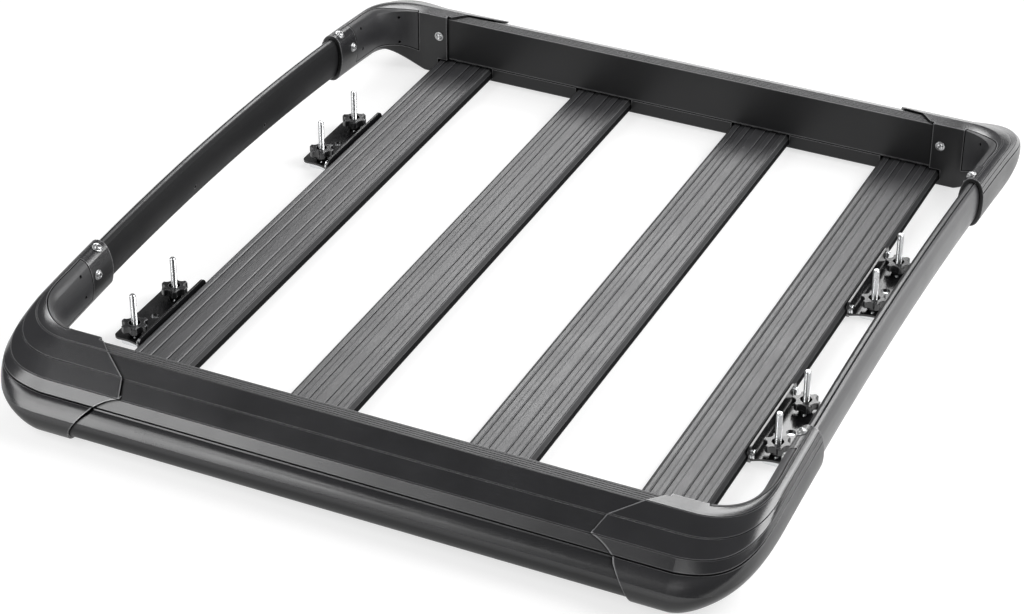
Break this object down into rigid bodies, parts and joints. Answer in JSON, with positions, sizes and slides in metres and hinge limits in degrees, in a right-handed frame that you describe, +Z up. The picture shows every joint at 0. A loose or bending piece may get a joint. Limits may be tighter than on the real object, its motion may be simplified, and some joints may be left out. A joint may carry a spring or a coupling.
{
  "type": "roof basket",
  "caption": "Aluminium luggage basket for a car roof: deck slats inside a raised rail frame with moulded corners, and knob-tightened brackets that clamp to the roof crossbars.",
  "frame": {"origin": "on the floor under the middle of the basket, at the underside of the clamp bars", "axes": "+X across the vehicle, +Y along it, +Z up"},
  "size_m": [1.0346, 1.2136, 0.1295],
  "materials": {
    "end_rail_coat": "satin black powder coat on an extrusion",
    "side_rail_coat": "satin black powder coat on a rolled tube",
    "slat_coat": "fine-textured black powder coat",
    "corner_plastic": "moulded black plastic, fine grain",
    "cover_plastic": "moulded black plastic, fine grain",
    "bracket_coat": "gloss black coat on pressed steel",
    "zinc_steel": "bright zinc plate",
    "knob_plastic": "glossy black plastic"
  },
  "bodies": {
    "basket": {"front_rail": "end_rail_coat", "rear_rail": "end_rail_coat", "left_rail": "side_rail_coat", "right_rail": "side_rail_coat", "corner_rear_right": "corner_plastic", "corner_cover_rear_right": "cover_plastic", "corner_rear_left": "corner_plastic", "corner_cover_rear_left": "cover_plastic", "corner_front_right": "corner_plastic", "corner_cover_front_right": "cover_plastic", "corner_front_left": "corner_plastic", "corner_cover_front_left": "cover_plastic", "slat_1": "slat_coat", "slat_2": "slat_coat", "slat_3": "slat_coat", "slat_4": "slat_coat", "bracket_front_left": "bracket_coat", "stud_plate_front_left": "zinc_steel", "bracket_rear_left": "bracket_coat", "stud_plate_rear_left": "zinc_steel", "bracket_front_right": "bracket_coat", "stud_plate_front_right": "zinc_steel", "bracket_rear_right": "bracket_coat", "stud_plate_rear_right": "zinc_steel"},
    "knob_front_left_a_body": {"knob_front_left_a": "knob_plastic"},
    "knob_front_left_b_body": {"knob_front_left_b": "knob_plastic"},
    "knob_rear_left_a_body": {"knob_rear_left_a": "knob_plastic"},
    "knob_rear_left_b_body": {"knob_rear_left_b": "knob_plastic"},
    "knob_front_right_a_body": {"knob_front_right_a": "knob_plastic"},
    "knob_front_right_b_body": {"knob_front_right_b": "knob_plastic"},
    "knob_rear_right_a_body": {"knob_rear_right_a": "knob_plastic"},
    "knob_rear_right_b_body": {"knob_rear_right_b": "knob_plastic"}
  },
  "joints": [
    {"name": "knob_front_left_a_turn", "type": "hinge", "parent": "basket", "child": "knob_front_left_a_body", "pos_m": [-0.433, -0.35635, 0.02], "axis": [0, 0, 1], "continuous": true},
    {"name": "knob_front_left_b_turn", "type": "hinge", "parent": "basket", "child": "knob_front_left_b_body", "pos_m": [-0.433, -0.25365, 0.02], "axis": [0, 0, 1], "continuous": true},
    {"name": "knob_rear_left_a_turn", "type": "hinge", "parent": "basket", "child": "knob_rear_left_a_body", "pos_m": [-0.433, 0.16665, 0.02], "axis": [0, 0, 1], "continuous": true},
    {"name": "knob_rear_left_b_turn", "type": "hinge", "parent": "basket", "child": "knob_rear_left_b_body", "pos_m": [-0.433, 0.26935, 0.02], "axis": [0, 0, 1], "continuous": true},
    {"name": "knob_front_right_a_turn", "type": "hinge", "parent": "basket", "child": "knob_front_right_a_body", "pos_m": [0.433, -0.24735, 0.02], "axis": [0, 0, 1], "continuous": true},
    {"name": "knob_front_right_b_turn", "type": "hinge", "parent": "basket", "child": "knob_front_right_b_body", "pos_m": [0.433, -0.14465, 0.02], "axis": [0, 0, 1], "continuous": true},
    {"name": "knob_rear_right_a_turn", "type": "hinge", "parent": "basket", "child": "knob_rear_right_a_body", "pos_m": [0.433, 0.12365, 0.02], "axis": [0, 0, 1], "continuous": true},
    {"name": "knob_rear_right_b_turn", "type": "hinge", "parent": "basket", "child": "knob_rear_right_b_body", "pos_m": [0.433, 0.22635, 0.02], "axis": [0, 0, 1], "continuous": true}
  ]
}
